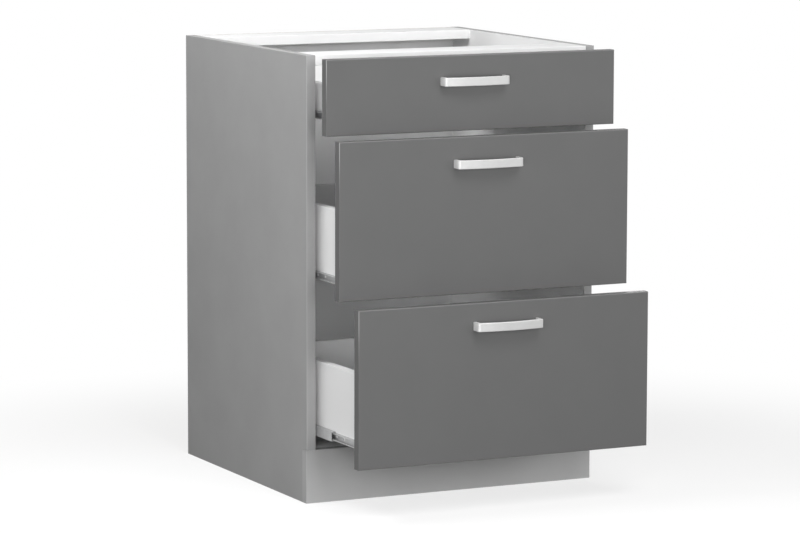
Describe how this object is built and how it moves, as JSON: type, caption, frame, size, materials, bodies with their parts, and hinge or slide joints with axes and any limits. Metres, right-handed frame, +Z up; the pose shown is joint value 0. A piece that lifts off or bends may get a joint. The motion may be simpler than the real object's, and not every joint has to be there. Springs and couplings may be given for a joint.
{
  "type": "kitchen base cabinet with drawers",
  "caption": "Kitchen base cabinet without worktop: grey sides and plinth, dark-grey drawer fronts with bow handles, white drawer boxes on full-extension ball-bearing slides.",
  "frame": {"origin": "middle of the plinth board's underside, on the floor", "axes": "+X to the cabinet's right seen from the front, +Y from the front to the back, +Z up; the drawers open towards -Y"},
  "size_m": [0.6, 0.815, 0.834],
  "materials": {
    "side_board": "mid-grey melamine outside and on the front edges, white melamine inside, fine orange-peel grain",
    "white_board": "white melamine-faced chipboard, fine orange-peel grain",
    "plinth_foil": "mid-grey foiled plinth board, satin",
    "front_foil": "dark-grey satin foil over rounded fibreboard edges",
    "back_sheet": "thin white-lacquered fibreboard",
    "handle_metal": "satin nickel-plated die-cast",
    "slide_steel": "bright zinc-plated rolled steel",
    "cage_steel": "thin steel ball cages with polished balls",
    "fitting_zinc": "zinc die-cast and plated steel",
    "beech": "fluted beech dowel"
  },
  "bodies": {
    "carcass": {"left_side_panel": "side_board", "right_side_panel": "side_board", "bottom_panel": "white_board", "back_panel": "back_sheet", "front_top_rail": "white_board", "rear_top_rail": "white_board", "plinth_board": "plinth_foil", "carcass_cam_fittings": "fitting_zinc", "carcass_dowels": "beech", "cabinet_slide_screws": "fitting_zinc", "top_slide_outer_left": "slide_steel", "top_slide_outer_right": "slide_steel", "middle_slide_outer_left": "slide_steel", "middle_slide_outer_right": "slide_steel", "bottom_slide_outer_left": "slide_steel", "bottom_slide_outer_right": "slide_steel"},
    "top_drawer": {"top_drawer_front": "front_foil", "top_drawer_handle": "handle_metal", "top_handle_screws": "fitting_zinc", "top_drawer_left_side": "white_board", "top_drawer_right_side": "white_board", "top_drawer_back": "white_board", "top_drawer_floor": "white_board", "top_drawer_fixings": "fitting_zinc", "top_slide_inner_left": "slide_steel", "top_slide_inner_right": "slide_steel"},
    "top_slide_middles": {"top_slide_middle_left": "slide_steel", "top_slide_middle_right": "slide_steel"},
    "top_outer_cages": {"top_slide_outer_cages": "cage_steel"},
    "top_inner_cages": {"top_slide_inner_cages": "cage_steel"},
    "middle_drawer": {"middle_drawer_front": "front_foil", "middle_drawer_handle": "handle_metal", "middle_handle_screws": "fitting_zinc", "middle_drawer_left_side": "white_board", "middle_drawer_right_side": "white_board", "middle_drawer_back": "white_board", "middle_drawer_floor": "white_board", "middle_drawer_fixings": "fitting_zinc", "middle_slide_inner_left": "slide_steel", "middle_slide_inner_right": "slide_steel"},
    "middle_slide_middles": {"middle_slide_middle_left": "slide_steel", "middle_slide_middle_right": "slide_steel"},
    "middle_outer_cages": {"middle_slide_outer_cages": "cage_steel"},
    "middle_inner_cages": {"middle_slide_inner_cages": "cage_steel"},
    "bottom_drawer": {"bottom_drawer_front": "front_foil", "bottom_drawer_handle": "handle_metal", "bottom_handle_screws": "fitting_zinc", "bottom_drawer_left_side": "white_board", "bottom_drawer_right_side": "white_board", "bottom_drawer_back": "white_board", "bottom_drawer_floor": "white_board", "bottom_drawer_fixings": "fitting_zinc", "bottom_slide_inner_left": "slide_steel", "bottom_slide_inner_right": "slide_steel"},
    "bottom_slide_middles": {"bottom_slide_middle_left": "slide_steel", "bottom_slide_middle_right": "slide_steel"},
    "bottom_outer_cages": {"bottom_slide_outer_cages": "cage_steel"},
    "bottom_inner_cages": {"bottom_slide_inner_cages": "cage_steel"}
  },
  "joints": [
    {"name": "top_drawer_slide", "type": "slide", "parent": "carcass", "child": "top_drawer", "axis": [0, -1, 0], "range_m": [-0.062, 0.368]},
    {"name": "top_slide_middles_slide", "type": "slide", "parent": "carcass", "child": "top_slide_middles", "axis": [0, -1, 0], "range_m": [-0.031, 0.184]},
    {"name": "top_outer_cages_roll", "type": "slide", "parent": "carcass", "child": "top_outer_cages", "axis": [0, -1, 0], "range_m": [-0.0155, 0.092]},
    {"name": "top_inner_cages_roll", "type": "slide", "parent": "carcass", "child": "top_inner_cages", "axis": [0, -1, 0], "range_m": [-0.0465, 0.276]},
    {"name": "middle_drawer_slide", "type": "slide", "parent": "carcass", "child": "middle_drawer", "axis": [0, -1, 0], "range_m": [-0.118, 0.312]},
    {"name": "middle_slide_middles_slide", "type": "slide", "parent": "carcass", "child": "middle_slide_middles", "axis": [0, -1, 0], "range_m": [-0.059, 0.156]},
    {"name": "middle_outer_cages_roll", "type": "slide", "parent": "carcass", "child": "middle_outer_cages", "axis": [0, -1, 0], "range_m": [-0.0295, 0.078]},
    {"name": "middle_inner_cages_roll", "type": "slide", "parent": "carcass", "child": "middle_inner_cages", "axis": [0, -1, 0], "range_m": [-0.0885, 0.234]},
    {"name": "bottom_drawer_slide", "type": "slide", "parent": "carcass", "child": "bottom_drawer", "axis": [0, -1, 0], "range_m": [-0.2, 0.23]},
    {"name": "bottom_slide_middles_slide", "type": "slide", "parent": "carcass", "child": "bottom_slide_middles", "axis": [0, -1, 0], "range_m": [-0.1, 0.115]},
    {"name": "bottom_outer_cages_roll", "type": "slide", "parent": "carcass", "child": "bottom_outer_cages", "axis": [0, -1, 0], "range_m": [-0.05, 0.0575]},
    {"name": "bottom_inner_cages_roll", "type": "slide", "parent": "carcass", "child": "bottom_inner_cages", "axis": [0, -1, 0], "range_m": [-0.15, 0.1725]}
  ],
  "couplings": [
    {"joint": "top_slide_middles_slide", "follows": "top_drawer_slide", "ratio": 0.5},
    {"joint": "top_outer_cages_roll", "follows": "top_drawer_slide", "ratio": 0.25},
    {"joint": "top_inner_cages_roll", "follows": "top_drawer_slide", "ratio": 0.75},
    {"joint": "middle_slide_middles_slide", "follows": "middle_drawer_slide", "ratio": 0.5},
    {"joint": "middle_outer_cages_roll", "follows": "middle_drawer_slide", "ratio": 0.25},
    {"joint": "middle_inner_cages_roll", "follows": "middle_drawer_slide", "ratio": 0.75},
    {"joint": "bottom_slide_middles_slide", "follows": "bottom_drawer_slide", "ratio": 0.5},
    {"joint": "bottom_outer_cages_roll", "follows": "bottom_drawer_slide", "ratio": 0.25},
    {"joint": "bottom_inner_cages_roll", "follows": "bottom_drawer_slide", "ratio": 0.75}
  ]
}
